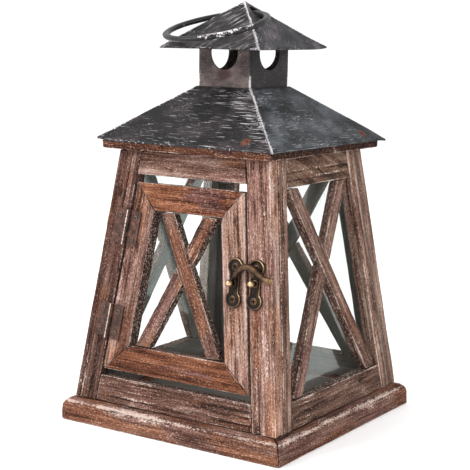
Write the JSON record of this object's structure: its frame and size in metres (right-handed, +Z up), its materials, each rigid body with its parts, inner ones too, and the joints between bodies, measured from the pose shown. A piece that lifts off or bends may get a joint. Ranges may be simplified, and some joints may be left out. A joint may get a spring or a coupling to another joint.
{
  "type": "hanging lantern",
  "caption": "Tapered wooden candle lantern with glazed crossed-bar walls, a hinged latched door, a sheet-metal roof with vented chimney and a wire ring handle.",
  "frame": {"origin": "middle of the base's underside", "axes": "+Z up, -Y out of the front, where the door is, +X to the right as seen from the front"},
  "size_m": [0.15, 0.15, 0.2424],
  "materials": {
    "wood": "whitewashed, wire-brushed, worn edges",
    "door_wood": "reddish-brown stain, wire-brushed",
    "roof_metal": "dark, dry-brushed with silver white",
    "chimney_metal": "dark warm grey, chipped",
    "ring_wire": "dark, semi-gloss",
    "hinge_iron": "rusty brown, bright at the pin",
    "antique_brass": "dark antique, rubbed bright on high points",
    "pane_glass": "clear with a grey-green tint"
  },
  "bodies": {
    "body": {"base_strip_front": "wood", "base_strip_right": "wood", "base_strip_back": "wood", "base_strip_left": "wood", "floor_panel": "wood", "front_stile_left": "wood", "front_stile_right": "wood", "front_rail_bottom": "wood", "front_rail_top": "wood", "back_stile_left": "wood", "back_stile_right": "wood", "back_rail_bottom": "wood", "back_rail_top": "wood", "right_stile_left": "wood", "right_stile_right": "wood", "right_rail_bottom": "wood", "right_rail_top": "wood", "left_stile_left": "wood", "left_stile_right": "wood", "left_rail_bottom": "wood", "left_rail_top": "wood", "back_bar_whole": "wood", "back_bar_upper": "wood", "back_bar_lower": "wood", "back_glass": "pane_glass", "right_bar_whole": "wood", "right_bar_upper": "wood", "right_bar_lower": "wood", "right_glass": "pane_glass", "left_bar_whole": "wood", "left_bar_upper": "wood", "left_bar_lower": "wood", "left_glass": "pane_glass", "top_board": "wood", "roof": "roof_metal", "chimney": "chimney_metal", "cap": "roof_metal", "hinge_upper_frame_leaf": "hinge_iron", "hinge_lower_frame_leaf": "hinge_iron", "hinge_upper_pin": "hinge_iron", "hinge_lower_pin": "hinge_iron", "latch_frame_plate": "antique_brass", "latch_catch": "antique_brass"},
    "door": {"door_stile_left": "door_wood", "door_stile_right": "door_wood", "door_rail_bottom": "door_wood", "door_rail_top": "door_wood", "door_bar_whole": "door_wood", "door_bar_upper": "door_wood", "door_bar_lower": "door_wood", "door_glass": "pane_glass", "hinge_upper_door_leaf": "hinge_iron", "hinge_lower_door_leaf": "hinge_iron", "latch_door_plate": "antique_brass", "latch_rivet": "antique_brass"},
    "latch_arm": {"latch_arm": "antique_brass"},
    "ring_handle": {"ring_handle": "ring_wire"}
  },
  "joints": [
    {"name": "door_hinge", "type": "hinge", "parent": "body", "child": "door", "pos_m": [-0.04719, -0.06498, 0.06104], "axis": [-0.127, -0.127, -0.9837], "range_deg": [0, 170]},
    {"name": "latch_pivot", "type": "hinge", "parent": "door", "child": "latch_arm", "pos_m": [0.0355, -0.05918, 0.09185], "axis": [0, -0.9918, 0.1281], "range_deg": [0, 100]},
    {"name": "ring_swing", "type": "hinge", "parent": "body", "child": "ring_handle", "pos_m": [0, 0, 0.235], "axis": [-1, 0, 0], "range_deg": [0, 192]}
  ]
}
